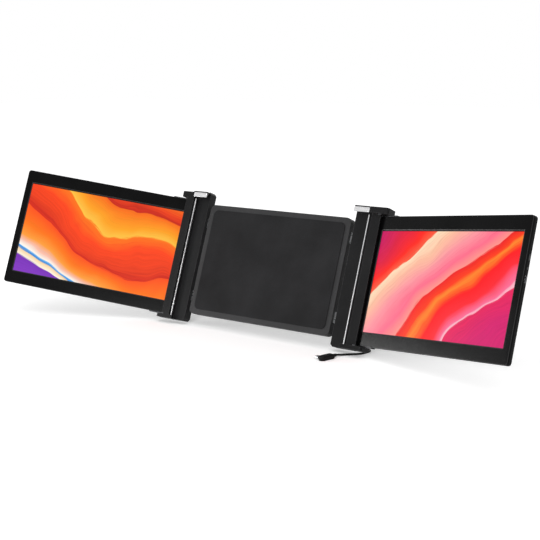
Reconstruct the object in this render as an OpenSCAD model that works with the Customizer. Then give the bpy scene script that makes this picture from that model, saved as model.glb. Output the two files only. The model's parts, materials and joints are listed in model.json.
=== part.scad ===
// Laptop screen extender: two folding side screens on a sliding frame that grips a laptop's lid.
// Millimetres. X runs to the right, Y to the back and Z up along the lid.
// The origin is the middle of the mat on the housing's front, where the back of the lid rests.
// Each screen is drawn in its own hinge frame: X outwards from the hinge axis, Y behind the axis.

/* [Lid slot] */
// Width of the laptop lid between the two edge strips
lid_w = 309.8; // [302:0.1:350]
// Depth of the slot from the mat to the clips
lid_slot = 8.1; // [6:0.1:12]
// Height of the clips' bridge above the top of the screens
lid_rise = 8.3; // [7:0.1:16]

/* [Screens] */
// Width of the picture
picture_w = 256.3; // [230:0.1:300]
// Height of the picture
picture_h = 144.2; // [130:0.1:180]
// Bezel above the picture
bezel_top = 20.2; // [16:0.1:30]
// Bezel below the picture
bezel_bottom = 20; // [16:0.1:30]
// Bezel on the hinge side
bezel_hinge = 9.2; // [8:0.1:16]
// Bezel on the outer side
bezel_outer = 11.2; // [9:0.1:20]
// Radius of the screens' outer corners
screen_r = 4; // [2:0.1:6]
// Depth of the front bezel
bezel_d = 3.5; // [3:0.1:4]
// Depth of the back cover behind the front bezel
cover_d = 5.5; // [5.5:0.1:8]
// Wall of the bezel in front of the glass
bezel_lip = 0.9; // [0.6:0.1:1.2]
// Thickness of the panel glass
glass_t = 1.1; // [0.8:0.1:1.2]
// Thickness of the backlight tray
tray_t = 2; // [1.8:0.1:2.1]
// Border of the glass around the picture
glass_border = 3; // [2:0.1:4]
// Wall of the back cover
cover_wall = 1.6; // [1.2:0.1:2]

/* [Screen controls] */
// Height of the round power button above the screen's middle
power_z = 27; // [24:0.1:31]
// Radius of the round power button
power_r = 1.4; // [1:0.1:1.5]
// Height of the brightness rocker above the screen's middle
rocker_z = 40.5; // [39:0.1:60]
// Length of the brightness rocker
rocker_l = 9; // [6:0.1:10]
// Height of the data socket above the screen's middle
socket_z = 13.5; // [5:0.1:17]
// Stand-out of the buttons
button_rise = 0.5; // [0.4:0.1:0.8]
// Length of the driver board
board_l = 62; // [40:0.5:90]
// Width of the driver board
board_w = 70; // [60:0.5:90]

/* [Hinges] */
// Swing of the left screen towards the user
left_swing = 26.2; // [0:0.1:60]
// Swing of the right screen towards the user
right_swing = 20.5; // [0:0.1:60]
// Distance from the hinge axis back to the front of the bezel
hinge_offset = 7; // [6.9:0.05:8]
// Reach of the screen's edge inwards past the hinge axis
hinge_inset = 6.4; // [5:0.1:7]
// Space between the posts' outer side and the hinge axis
axis_gap = 0.7; // [0.3:0.1:1.5]
// Space between folded layers
fold_gap = 0.4; // [0.3:0.05:1]
// Radius of the hinge pins
pin_r = 1.75; // [1.5:0.05:2]
// Outer radius of the hinge barrels
barrel_r = 3.2; // [3:0.05:3.3]
// Thickness of the hinge arms
arm_t = 1.5; // [1.2:0.1:2]
// Length of the hinge arms over the screen's edge
arm_l = 26; // [25:0.5:34]
// Radial running clearance of the hinge pins
pin_fit = 0.05; // [0.03:0.01:0.08]

/* [Brackets] */
// Width of the posts beside the lid
post_w = 14.2; // [10:0.1:20]
// Front of the posts ahead of the mat
post_front = 4.3; // [3:0.1:6]
// Height of the upper blocks that hold the hinges
block_h = 8.7; // [7:0.1:14]
// Height of the lower blocks that hold the hinges
foot_h = 5.4; // [5.2:0.1:10]
// Reach of the left blocks past the hinge axis
left_block_reach = 10; // [7:0.1:13]
// Reach of the right blocks past the hinge axis
right_block_reach = 13.3; // [8:0.1:15]
// Depth of the left blocks behind the mat plane
left_block_back = 12; // [11:0.1:14]
// Depth of the right blocks behind the mat plane
right_block_back = 9.5; // [9:0.1:14]
// Radius of the blocks' front corners
block_r = 4; // [2:0.1:5]
// Reach of the bottom ledges under the lid
ledge_reach = 1.4; // [1:0.1:8]
// Thickness of the rubber side pads
pad_t = 3.8; // [2:0.1:6]
// Thickness of the steel edge strips
strip_t = 1.4; // [1:0.1:2]
// Depth of the steel edge strips
strip_d = 2.8; // [2:0.1:4]
// Width of the brackets behind the lid
bracket_w = 34.6; // [33:0.1:44]
// Corner cut at the brackets' inner ends
bracket_cut = 3.5; // [1:0.1:6]
// Rise of the plates behind the lid above the upper hinge blocks
plate_rise = 2.4; // [1:0.1:4]

/* [Housing] */
// Distance from the top of the screens down to the top of the housing
housing_drop = 6.2; // [2:0.1:7]
// Depth of the housing with its two shells
housing_d = 14.5; // [13.5:0.1:18]
// Thickness of the mat
mat_t = 1; // [0.8:0.1:1]
// Width of the mat
mat_w = 236; // [150:0.5:244]
// Height of the mat
mat_h = 156; // [100:0.5:160]
// Wall of the housing and bracket shells
wall = 2; // [1.6:0.1:2.2]
// Gap between the housing and the brackets
bracket_gap = 6; // [5.5:0.1:10]
// Width of the slide rails
rail_w = 16; // [12:0.1:18]
// Thickness of the slide rails
rail_t = 2.2; // [1.8:0.1:2.4]
// Distance from the top of the screens down to the middle of the rails
rail_drop = 34.2; // [34:0.1:50]
// Distance from the middle to the inner end of the rails
rail_in = 22; // [18:0.5:26]
// Length of the rail guides
guide_l = 18; // [10:0.5:24]
// Height of the guides above and below the rails
guide_rim = 4; // [2:0.1:5]
// Clearance of the slide rails in their guides
rail_fit = 0.1; // [0.05:0.01:0.2]
// Radius of the housing's corners
housing_r = 8; // [4:0.5:12]

/* [Lid clips] */
// Width of the clips' front tongue
clip_w = 25; // [22:0.1:27]
// Height of the clips' front tongue
clip_h = 7.2; // [5:0.1:8]
// Thickness of the clips' steel
clip_t = 1; // [0.8:0.05:1]
// Width of the clips' stem and bridge
stem_w = 18; // [12:0.1:20]
// Length of the clips' stem
stem_l = 32; // [26:0.5:34]
// Thickness of the plastic caps on the clips' bridges
cap_t = 1.7; // [1.2:0.1:2.5]

/* [Cable] */
// Diameter of the cable
cable_d = 3; // [2.4:0.1:3.2]
// Distance from the hinge axis inwards to the cable's gland
gland_in = 6; // [3:0.1:7]
// Length of the gland
gland_l = 5; // [4:0.1:8]
// Radius of the gland at the block
gland_r = 2.3; // [1.9:0.1:2.5]
// Length of the plug's angled grip
grip_l = 24; // [20:0.5:28]
// Width of the plug's grip
grip_w = 11; // [10:0.1:12]
// Thickness of the plug's grip
grip_t = 6.4; // [5:0.1:6.6]
// Length of the plug's strain relief
relief_l = 7; // [6:0.1:8]
// Length of the plug's metal shell
shell_l = 6.6; // [6:0.1:8]
// Width of the plug's metal shell
shell_w = 8.3; // [8:0.05:8.4]
// Thickness of the plug's metal shell
shell_t = 2.4; // [2.2:0.05:2.6]

/* [Hidden] */

// Round faces
$fn = 48;
// Overlap of cuts past a face
cut = 1;
// Gap between pieces that only lie beside each other
fit = 0.2;
// Gap between pieces that swing past each other
run = 0.3;
// Room behind a screen's hinge edge when it swings back
swing_room = 2;
// Clearance of the posts from a screen's edge as it swings
post_room = 1;

// Screen outline in its hinge frame
screen_w = bezel_hinge + picture_w + bezel_outer;
screen_h = bezel_bottom + picture_h + bezel_top;
screen_in = -hinge_inset;
screen_out = screen_in + screen_w;
screen_top = screen_h / 2;
screen_t = bezel_d + cover_d;
face_y = hinge_offset;
split_y = face_y + bezel_d;
back_y = face_y + screen_t;
picture_in = screen_in + bezel_hinge;
picture_x = picture_in + picture_w / 2;
picture_z = (bezel_bottom - bezel_top) / 2;
glass_y = face_y + bezel_lip;
tray_y = glass_y + glass_t;
rear_y = tray_y + tray_t;
// Set-back of the tray from the glass, and the small radius of inner corners
tray_rim = 0.4;
corner_r = 1;

// Positions across the frame, measured from its middle
strip_in = lid_w / 2;
strip_out = strip_in + strip_t;
post_in = strip_out + pad_t;
post_out = post_in + post_w;
hinge_x = post_out + axis_gap;
body_out = hinge_x - hinge_inset - swing_room;
bracket_in = body_out - bracket_w;
housing_w = 2 * (bracket_in - bracket_gap);
housing_h = 2 * (screen_top - housing_drop);

// Wall of the blocks around the barrels
barrel_skin = 1.2;

// Positions from front to back
left_axis_y = hinge_offset - post_front - fold_gap;
right_axis_y = left_axis_y - screen_t - fold_gap;
front_in = mat_t + wall;
rear_out = mat_t + housing_d;
rail_y = mat_t + housing_d / 2;
left_front = -post_front;
right_front = right_axis_y - barrel_r - barrel_skin;
left_post_back = left_axis_y + hinge_offset - post_room;
right_post_back = right_axis_y + hinge_offset - post_room;

// Heights
block_in = screen_top + arm_t + run;
block_out = block_in + block_h;
foot_out = block_in + foot_h;
plate_out = block_out + plate_rise;
rail_z = screen_top - rail_drop;
// Block heights, with the end that each stands at
ends = [[1, block_h], [-1, foot_h]];
// Space between a pin's end and the barrel's end
pin_short = 0.6;

// Set-back of the rubber pads from the posts' front
pad_back = 1.3;

// Rail end bosses in the brackets
boss_edge = 2;
rail_screw_edge = 6;
boss_in = bracket_in + wall + boss_edge;
boss_out = body_out - wall - boss_edge;
rail_screws = [boss_in + rail_screw_edge, boss_out - rail_screw_edge];
// Middles of the inner and outer rail guides
guide_room = 8;
guide_xs = [rail_in + guide_room + guide_l / 2, housing_w / 2 - wall - boss_edge - guide_l / 2];

// Clips
clip_edge = 0.3;
cap_r = 1.5;
clip_x = bracket_in + clip_edge + clip_w / 2;
clip_top = screen_top + lid_rise + clip_t;
clip_back = front_in + fit;
clip_r = 1.6;
emboss_edge = 1.9;
emboss_d = 0.3;

// Sunk field on the housing's back
panel_edge = 25;
panel_d = 0.5;

// Screws: shank and head
screw_r = 1.1;
screw_bite = 2;
head_r = 2.1;
head_t = 1.2;
bore_fit = 0.05;
boss_r = 3.1;
screen_screw_edge = 8;
screen_screw_in = 20;
screen_screw_out = 30;
screen_screw_x = [screen_in + screen_screw_in, screen_in + screen_w / 2 - screen_screw_edge,
    screen_out - screen_screw_out];
screen_screw_z = screen_top - screen_screw_edge;
housing_screw_x = 14;
housing_screw_z = 8;
housing_screws_at = [for (x = [-1, 0, 1], z = [-1, 1])
    [x * (housing_w / 2 - housing_screw_x), z * (housing_h / 2 - housing_screw_z)]];
arm_screw_edge = 7.5;
arm_screw_x = [arm_screw_edge, arm_l - arm_screw_edge];
arm_screw_y = back_y - cover_wall - head_r + 0.1;
arm_screw_l = 8.5;
arm_rim = 1.4;
arm_hub = pin_r + arm_rim;
arm_room = 1;

// Controls on a screen's outer edge
key_y = split_y + (cover_d - cover_wall) / 2;
key_in = screen_out - cover_wall;
key_tail = 1.8;
collar_t = 1;
collar_rim = 0.4;
rocker_r = 1.2;
socket_l = 8.9;
socket_r = 1.55;
socket_d = 8.6;
switch_t = 1.2;
switch_w = 2.6;
key_gap = 0.5;

// Boards in the screens: thickness, distance from the outer edge, and the chips' places and widths
board_t = 1;
board_edge = 9;
board_rim = 2;
chip_t = 1.2;
chips = [[18, 20, 12], [40, 34, 9], [14, 48, 8], [44, 12, 7]];

// Lean of the lid from upright, and a point given along the table turned into the part's frame
lean = 21.3;
function on_table(p) = [p[0], p[1] * cos(lean) - p[2] * sin(lean), p[1] * sin(lean) + p[2] * cos(lean)];

// Cable route from the gland to the plug, chosen by hand: right, back along the table, above the table's frame
cable_exit = [hinge_x - gland_in, right_block_back + gland_l, -block_in - foot_h / 2];
table_route = [[169, -18.8, -96.4], [169, -15.8, -97.4], [169, -12.8, -98.1], [169, -9.9, -98.5],
    [169.5, -7.5, -98.5], [170.8, -5.5, -98.5], [172.9, -4.1, -98.5], [175.3, -3.6, -98.5],
    [177.7, -4.1, -98.5], [179.7, -5.5, -98.5], [181, -7.5, -98.5], [181.5, -9.9, -98.5],
    [181.6, -13.2, -98.5], [181.2, -17, -98.5], [180.3, -21, -98.5], [178.8, -25.2, -98.5],
    [176.5, -29.2, -98.5], [173.6, -32.8, -98.5], [170.3, -36, -98.5], [166.9, -39, -98.5],
    [163.6, -42, -98.5], [160.8, -45.3, -98.4], [158.7, -49, -98], [157.2, -52.8, -97.3],
    [156, -56.6, -96.8]];
route = concat([cable_exit], [for (p = table_route) on_table(p)]);
// Turn of the plug on the table, away from straight ahead
plug_turn = 16.5;
cable_sides = 8;

// ---------- shared shapes ----------

// Rectangle with round corners around the origin
module rounded(w, h, r) {
    square([w - 2 * r, h], center = true);
    square([w, h - 2 * r], center = true);
    for (x = [-1, 1], y = [-1, 1]) translate([x * (w / 2 - r), y * (h / 2 - r)]) circle(r);
}

// Plate with round corners in the XZ plane, from y0 to y1
module plate(x, z, w, h, r, y0, y1) {
    translate([x, y1, z]) rotate([90, 0, 0]) linear_extrude(y1 - y0) rounded(w, h, r);
}

// Box from one corner to the other
module box(x0, x1, y0, y1, z0, z1) {
    translate([x0, y0, z0]) cube([x1 - x0, y1 - y0, z1 - z0]);
}

// Bar along Y
module rod_y(x, z, r, y0, y1) {
    translate([x, y1, z]) rotate([90, 0, 0]) cylinder(r = r, h = y1 - y0);
}

// Screw along Y with its head at the back
module screw_y(x, z, y0, y1, r = screw_r) {
    rod_y(x, z, r, y0, y1 - head_t / 2);
    rod_y(x, z, head_r, y1 - head_t, y1);
}

// Both ends of a bracket or screen, upper one first
module both_ends() {
    children();
    mirror([0, 0, 1]) children();
}

// Turns a shape drawn at the top over to the bottom
module at_end(side) {
    mirror([0, 0, side < 0 ? 1 : 0]) children();
}

module left_side() {
    mirror([1, 0, 0]) children();
}

module left_hinge() {
    left_side() translate([hinge_x, left_axis_y, 0]) rotate([0, 0, -left_swing]) children();
}

module right_hinge() {
    translate([hinge_x, right_axis_y, 0]) rotate([0, 0, -right_swing]) children();
}

// ---------- middle housing ----------

// Openings for the rails in the housing's ends
module rail_slots() {
    for (z = [-rail_z, rail_z]) {
        translate([0, rail_y, z])
            cube([housing_w + 2 * cut, rail_t + 2 * fit, rail_w + 2 * fit], center = true);
    }
}

module seat_mat() {
    color("#1d1e20") plate(0, 0, mat_w, mat_h, housing_r, 0, mat_t);
}

module housing_front() {
    color("#26272a") difference() {
        union() {
            difference() {
                plate(0, 0, housing_w, housing_h, housing_r, mat_t, rail_y);
                plate(0, 0, housing_w - 2 * wall, housing_h - 2 * wall, housing_r - wall, front_in, rail_y + cut);
            }
            for (p = housing_screws_at) rod_y(p[0], p[1], boss_r, mat_t + wall / 2, rail_y);
        }
        for (p = housing_screws_at) rod_y(p[0], p[1], screw_r + bore_fit, front_in, rail_y + cut);
        rail_slots();
    }
}

module housing_back() {
    color("#2a2b2e") difference() {
        union() {
            difference() {
                plate(0, 0, housing_w, housing_h, housing_r, rail_y, rear_out);
                plate(0, 0, housing_w - 2 * wall, housing_h - 2 * wall, housing_r - wall,
                    rail_y - cut, rear_out - wall);
            }
            for (p = housing_screws_at) rod_y(p[0], p[1], boss_r, rail_y, rear_out - wall / 2);
        }
        for (p = housing_screws_at) {
            rod_y(p[0], p[1], screw_r + bore_fit, rail_y - cut, rear_out + cut);
            rod_y(p[0], p[1], head_r + bore_fit, rear_out - head_t - bore_fit, rear_out + cut);
        }
        rail_slots();
        plate(0, 0, housing_w - 2 * panel_edge, housing_h - 2 * panel_edge, housing_r / 2,
            rear_out - panel_d, rear_out + cut);
    }
}

// Plastic blocks that the rails run through
module rail_guides() {
    color("#c9c6bd") for (x = guide_xs, s = [-1, 1], z = [-rail_z, rail_z]) translate([s * x, rail_y, z]) {
        difference() {
            cube([guide_l, housing_d - 2 * wall, rail_w + 2 * guide_rim], center = true);
            cube([guide_l + cut, rail_t + 2 * rail_fit, rail_w + 2 * rail_fit], center = true);
        }
    }
}

module housing_screws() {
    color("#6e7072") for (p = housing_screws_at) screw_y(p[0], p[1], front_in + fit, rear_out);
}

// ---------- brackets, drawn for the right side ----------

// Room for the hinge arms between the posts' ends and the blocks
module arm_pocket() {
    both_ends() box(hinge_x - arm_hub - arm_room, hinge_x, -housing_d, housing_d, screen_top - run, block_in);
}

// Outline of a hinge block seen from above, with its outer front corner rounded
module block_outline(front, end, back) {
    translate([post_in, front + block_r]) square([end - post_in, back - front - block_r]);
    translate([post_in, front]) square([end - block_r - post_in, back - front]);
    translate([end - block_r, front + block_r]) circle(block_r);
}

// Part of the hinge blocks on one side of the parting line
module block_part(front, end, back, x0, x1, y0, y1) {
    for (e = ends) at_end(e[0]) translate([0, 0, block_in]) linear_extrude(e[1]) intersection() {
        block_outline(front, end, back);
        translate([x0, y0]) square([x1 - x0, y1 - y0]);
    }
}

// Seats of the hinge barrels in the blocks
module barrel_seats(axis_y) {
    for (e = ends) at_end(e[0]) translate([hinge_x, axis_y, block_in - cut])
        cylinder(r = barrel_r + bore_fit, h = e[1] - barrel_skin + cut);
}

// Plate of the bracket behind the lid, with its inner corners cut
module bracket_plate(inset, y0, y1) {
    x0 = bracket_in + inset;
    x1 = body_out - inset;
    low = -foot_out + inset;
    top = plate_out - inset;
    c = bracket_cut;
    translate([0, y1, 0]) rotate([90, 0, 0]) linear_extrude(y1 - y0)
        polygon([[x0 + c, low], [x1, low], [x1, top], [x0 + c, top], [x0, top - c], [x0, low + c]]);
}

// Bores for the screws that clamp the rails, from y0 to y1
module rail_bores(r, y0, y1) {
    for (z = [-rail_z, rail_z], x = rail_screws) rod_y(x, z, r, y0, y1);
}

module bracket_front(front, axis_y, post_back, reach, back) {
    end = hinge_x + reach;
    color("#2b2c2f") difference() {
        union() {
            // wall behind the lid, and the web that joins it to the post
            bracket_plate(0, mat_t, front_in);
            box(post_in, body_out, -post_front, front_in, -block_in, block_in);
            // post beside the lid
            box(body_out, post_out, -post_front, post_back, -block_in, block_in);
            // front halves of the hinge blocks
            block_part(front, end, back, post_in, body_out, front, front_in);
            block_part(front, end, back, body_out, end, front, axis_y);
            // ledge under the lid
            box(strip_in - ledge_reach, post_in, front, mat_t, -foot_out, -block_in);
            // bosses in front of the rails
            for (z = [-rail_z, rail_z]) {
                box(boss_in, boss_out, front_in - wall / 2, rail_y - rail_t / 2, z - rail_w / 2, z + rail_w / 2);
            }
        }
        arm_pocket();
        barrel_seats(axis_y);
        // notch for the clip's bridge
        box(clip_x - stem_w / 2 - fit, clip_x + stem_w / 2 + fit, mat_t - cut, front_in + cut,
            min(clip_top - clip_t - fit, plate_out), plate_out + cut);
        rail_bores(screw_r + bore_fit, front_in, rail_y);
    }
}

module bracket_rear(front, axis_y, reach, back) {
    end = hinge_x + reach;
    stem_back = clip_back + clip_t + fit;
    rib_top = plate_out - 2 * wall;
    rib_low = clip_top - stem_l - wall;
    color("#27282b") difference() {
        union() {
            difference() {
                bracket_plate(0, front_in, rear_out);
                bracket_plate(wall, front_in - cut, rear_out - wall);
            }
            block_part(front, end, back, body_out, end, axis_y, back);
            // bosses behind the rails
            for (z = [-rail_z, rail_z]) {
                box(boss_in, boss_out, rail_y + rail_t / 2, rear_out - wall / 2, z - rail_w / 2, z + rail_w / 2);
            }
            // ribs that guide the clip's stem
            for (s = [-1, 1]) translate([clip_x + s * stem_w / 4 - wall / 2, stem_back, rib_low])
                cube([wall, rear_out - wall / 2 - stem_back, rib_top - rib_low]);
        }
        arm_pocket();
        barrel_seats(axis_y);
        // notch for the clip's stem in the top wall
        box(clip_x - stem_w / 2 - fit, clip_x + stem_w / 2 + fit, front_in - cut, stem_back,
            plate_out - wall - bracket_cut, plate_out + cut);
        // openings for the rails in the inner wall
        for (z = [-rail_z, rail_z]) {
            box(bracket_in - cut, bracket_in + wall + cut, rail_y - rail_t / 2 - fit, rail_y + rail_t / 2 + fit,
                z - rail_w / 2 - fit, z + rail_w / 2 + fit);
        }
        rail_bores(screw_r + bore_fit, rail_y, rear_out + cut);
        rail_bores(head_r + bore_fit, rear_out - head_t - bore_fit, rear_out + cut);
    }
}

// Steel rails from inside the housing to the bracket's bosses
module slide_rails() {
    color("#a9abad") for (z = [-rail_z, rail_z]) {
        difference() {
            box(rail_in, boss_out, rail_y - rail_t / 2, rail_y + rail_t / 2, z - rail_w / 2, z + rail_w / 2);
            for (x = rail_screws) rod_y(x, z, screw_r + bore_fit, rail_y - rail_t, rail_y + rail_t);
        }
    }
}

module bracket_screws() {
    color("#6e7072") for (z = [-rail_z, rail_z], x = rail_screws) {
        screw_y(x, z, front_in + fit, rear_out);
    }
}

// Rubber strip between the post and the lid's side
module side_pad() {
    color("#111213") box(strip_out, post_in, -post_front + pad_back, mat_t - fit, -block_in, screen_top);
}

// Bright steel strip on the rubber pad, flush with the post's front, which touches the lid's side
module edge_strip() {
    color("#c8cacc") box(strip_in, strip_out, -post_front, strip_d - post_front, -block_in, screen_top);
}

module hinge_barrels(axis_y) {
    color("#77797b") for (e = ends) at_end(e[0]) translate([hinge_x, axis_y, block_in]) difference() {
        cylinder(r = barrel_r, h = e[1] - barrel_skin);
        translate([0, 0, -cut]) cylinder(r = pin_r + pin_fit, h = e[1] + 2 * cut);
    }
}

// Steel hook over the lid's top edge: tongue, bridge and stem
module lid_clip() {
    tongue_y = -lid_slot - clip_t;
    color("#d9dadb") {
        difference() {
            plate(clip_x, clip_top - clip_h / 2, clip_w, clip_h, clip_r, tongue_y, -lid_slot);
            plate(clip_x, clip_top - clip_h / 2, clip_w - 2 * emboss_edge, clip_h - 2 * emboss_edge, clip_r / 3,
                tongue_y - cut, tongue_y + emboss_d);
        }
        box(clip_x - stem_w / 2, clip_x + stem_w / 2, -lid_slot - clip_t / 2, clip_back + clip_t,
            clip_top - clip_t, clip_top);
        box(clip_x - stem_w / 2, clip_x + stem_w / 2, clip_back, clip_back + clip_t,
            clip_top - stem_l, clip_top);
    }
}

// Black cap on the clip's bridge
module clip_cap() {
    front = -lid_slot - clip_t;
    back = mat_t - fit;
    color("#1d1e20") translate([clip_x, (front + back) / 2, clip_top]) linear_extrude(cap_t)
        rounded(clip_w, back - front, cap_r);
}

// ---------- screens, drawn in the right screen's hinge frame ----------

// Outline of the screen, grown inwards by a wall
module screen_plate(inset, y0, y1) {
    plate(screen_in + screen_w / 2, 0, screen_w - 2 * inset, screen_h - 2 * inset,
        max(screen_r - inset, corner_r), y0, y1);
}

// Front bezel with the picture window and the pocket for the glass
module bezel() {
    pocket_w = picture_w + 2 * (glass_border + fit);
    pocket_h = picture_h + 2 * (glass_border + fit);
    color("#17181a") difference() {
        screen_plate(0, face_y, split_y);
        plate(picture_x, picture_z, picture_w, picture_h, corner_r / 2, face_y - cut, split_y + cut);
        plate(picture_x, picture_z, pocket_w, pocket_h, corner_r, glass_y, split_y + cut);
        for (x = screen_screw_x, s = [-1, 1]) {
            rod_y(x, s * screen_screw_z, screw_r + bore_fit, split_y - screw_bite, split_y + cut);
        }
    }
}

module back_cover() {
    inner_y = back_y - cover_wall;
    boss_low = screen_screw_z - boss_r - fit;
    color("#1b1c1e") difference() {
        union() {
            difference() {
                screen_plate(0, split_y, back_y);
                screen_plate(cover_wall, split_y - cut, inner_y);
            }
            for (x = screen_screw_x, s = [-1, 1]) {
                rod_y(x, s * screen_screw_z, boss_r, split_y, back_y - cover_wall / 2);
            }
            // bosses under the hinge arms
            both_ends() box(screen_in + cover_wall / 2, arm_l + boss_edge, split_y, back_y - cover_wall / 2,
                boss_low, screen_top - cover_wall / 2);
        }
        for (x = screen_screw_x, s = [-1, 1]) {
            rod_y(x, s * screen_screw_z, screw_r + bore_fit, split_y - cut, back_y + cut);
            rod_y(x, s * screen_screw_z, head_r + bore_fit, back_y - head_t - bore_fit, back_y + cut);
        }
        // bores for the hinge arms' screws
        both_ends() for (x = arm_screw_x) translate([x, arm_screw_y, screen_top - arm_screw_l - fit])
            cylinder(r = screw_r + bore_fit, h = arm_screw_l + fit + cut);
        // button holes and the socket's mouth
        key_bar(power_z, 0, power_r + 0.1, key_in - cut, screen_out + cut);
        key_bar(rocker_z, rocker_l + fit, rocker_r + 0.1, key_in - cut, screen_out + cut);
        key_bar(socket_z, socket_l + 2 * bore_fit, socket_r + bore_fit, key_in - cut, screen_out + cut);
    }
}

// Bar along X with a round or long round-ended section, at a height on the screen's outer edge
module key_bar(z, l, r, x0, x1) {
    translate([x0, key_y, z]) rotate([0, 90, 0]) linear_extrude(x1 - x0) {
        if (l > 2 * r) {
            square([l - 2 * r, 2 * r], center = true);
            for (s = [-1, 1]) translate([s * (l / 2 - r), 0]) circle(r);
        } else {
            circle(r);
        }
    }
}

module lcd_panel() {
    color("#0c0c10") plate(picture_x, picture_z, picture_w + 2 * glass_border,
        picture_h + 2 * glass_border, corner_r, glass_y, tray_y);
}

module backlight() {
    color("#8d9092") plate(picture_x, picture_z, picture_w + 2 * (glass_border - tray_rim),
        picture_h + 2 * (glass_border - tray_rim), corner_r, tray_y, rear_y);
}

// Driver board with its chips towards the backlight
module driver_board() {
    board_y = back_y - cover_wall - fit - board_t;
    board_out = screen_out - board_edge;
    board_low = socket_z - board_w / 2;
    color("#1f5c3a") box(board_out - board_l, board_out, board_y, board_y + board_t,
        board_low, board_low + board_w);
    color("#222326") for (c = chips) {
        translate([board_out - c[0], board_y - chip_t / 2 + cut / 10, board_low + c[1]])
            cube([c[2], chip_t, c[2]], center = true);
    }
}

// Metal shell of the data socket, open towards the side
module data_socket() {
    shell = 0.3;
    x0 = screen_out - socket_d;
    color("#b9bbbd") difference() {
        key_bar(socket_z, socket_l, socket_r, x0, screen_out - shell);
        key_bar(socket_z, socket_l - 2 * shell, socket_r - shell, x0 + 3 * shell, screen_out);
    }
    color("#2a2a2d") key_bar(socket_z, socket_l - 8 * shell, shell, x0 + 2 * shell, screen_out - 6 * shell);
}

// Narrow board behind the keys, with a dome switch for each
module key_board() {
    switch_x = key_in - key_tail - key_gap - switch_t;
    low = power_z - power_r - board_rim;
    top = rocker_z + rocker_l / 2 + board_rim;
    color("#1f5c3a") box(switch_x - board_t, switch_x, split_y + fit, back_y - cover_wall - fit, low, top);
    color("#b9bbbd") for (z = [power_z, rocker_z - rocker_l / 3, rocker_z + rocker_l / 3]) {
        box(switch_x, switch_x + switch_t, key_y - switch_w / 2, key_y + switch_w / 2,
            z - switch_w / 2, z + switch_w / 2);
    }
}

// Arms that carry the screen on the hinge pins, above and below it
module hinge_arms() {
    plate_in = face_y + arm_room;
    plate_out = back_y - arm_room;
    color("#8b8d90") for (e = ends) at_end(e[0]) {
        translate([0, 0, screen_top]) difference() {
            linear_extrude(arm_t) {
                circle(arm_hub);
                translate([-arm_hub, 0]) square([2 * arm_hub, plate_in + arm_room]);
                translate([-arm_hub, plate_in]) square([arm_l + arm_hub, plate_out - plate_in]);
            }
            for (x = arm_screw_x) translate([x, arm_screw_y, -cut])
                cylinder(r = head_r + bore_fit, h = arm_t + 2 * cut);
        }
        translate([0, 0, screen_top + arm_t / 2])
            cylinder(r = pin_r, h = arm_t / 2 + run + e[1] - barrel_skin - pin_short);
    }
}

module screen_screws() {
    color("#6e7072") {
        for (x = screen_screw_x, s = [-1, 1]) screw_y(x, s * screen_screw_z, split_y - screw_bite + fit, back_y);
        both_ends() for (x = arm_screw_x) translate([x, arm_screw_y, screen_top]) {
            cylinder(r = head_r, h = arm_t);
            translate([0, 0, -arm_screw_l]) cylinder(r = screw_r, h = arm_screw_l + arm_t / 2);
        }
    }
}

// Push button with a collar behind the wall
module key_button(z, l, r) {
    collar_r = min(r + collar_rim, (cover_d - cover_wall) / 2 - bore_fit);
    color("#3a3b3e") {
        key_bar(z, l, r, key_in - key_tail, screen_out + button_rise);
        key_bar(z, l + 2 * collar_rim, collar_r, key_in - run - collar_t, key_in - run);
    }
}

module power_button() {
    key_button(power_z, 0, power_r);
}

module rocker_button() {
    key_button(rocker_z, rocker_l, rocker_r);
}

// ---------- cable ----------

function unit(v) = v / norm(v);
function plug_heading() = on_table([-sin(plug_turn), -cos(plug_turn), 0]);
function heading(i) = i == 0 ? [0, 1, 0]
    : i == len(route) - 1 ? plug_heading()
    : unit(unit(route[i + 1] - route[i]) + unit(route[i] - route[i - 1]));
function side_of(i) = unit(cross(heading(i), on_table([0, 0, 1])));
function ring(i) = [for (k = [0:cable_sides - 1]) let(a = 360 * k / cable_sides, s = side_of(i))
    route[i] + cable_d / 2 * (cos(a) * s + sin(a) * cross(heading(i), s))];

module power_cable() {
    rings = len(route);
    points = [for (i = [0:rings - 1]) each ring(i)];
    sides = [for (i = [0:rings - 2], k = [0:cable_sides - 1]) let(n = (k + 1) % cable_sides)
        [i * cable_sides + k, i * cable_sides + n, (i + 1) * cable_sides + n, (i + 1) * cable_sides + k]];
    start_cap = [[for (k = [cable_sides - 1:-1:0]) k]];
    end_cap = [[for (k = [0:cable_sides - 1]) (rings - 1) * cable_sides + k]];
    color("#141517") polyhedron(points, concat(start_cap, sides, end_cap));
}

// Sleeve that the cable leaves the right foot block through
module cable_gland() {
    color("#141517") translate(cable_exit) rotate([90, 0, 0])
        cylinder(r1 = cable_d / 2 + 0.3, r2 = gland_r, h = gland_l);
}

// Frame at the end of the cable: Y along the plug, X to the laptop's side, Z up from the table
module at_plug() {
    translate(route[len(route) - 1]) rotate([lean, 0, 0]) rotate([0, 0, 180 - plug_turn]) mirror([1, 0, 0])
        children();
}

// Angled grip: tapered relief, then a flat body with a round end
module plug_grip() {
    color("#161719") at_plug() {
        rotate([-90, 0, 0]) cylinder(r1 = cable_d / 2 + 0.4, r2 = grip_t / 2 - 0.5, h = relief_l);
        translate([0, 0, -grip_t / 2]) linear_extrude(grip_t) {
            translate([-grip_w / 2, relief_l]) square([grip_w, grip_l - grip_w / 2]);
            translate([0, relief_l + grip_l - grip_w / 2]) circle(grip_w / 2);
        }
    }
}

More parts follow.
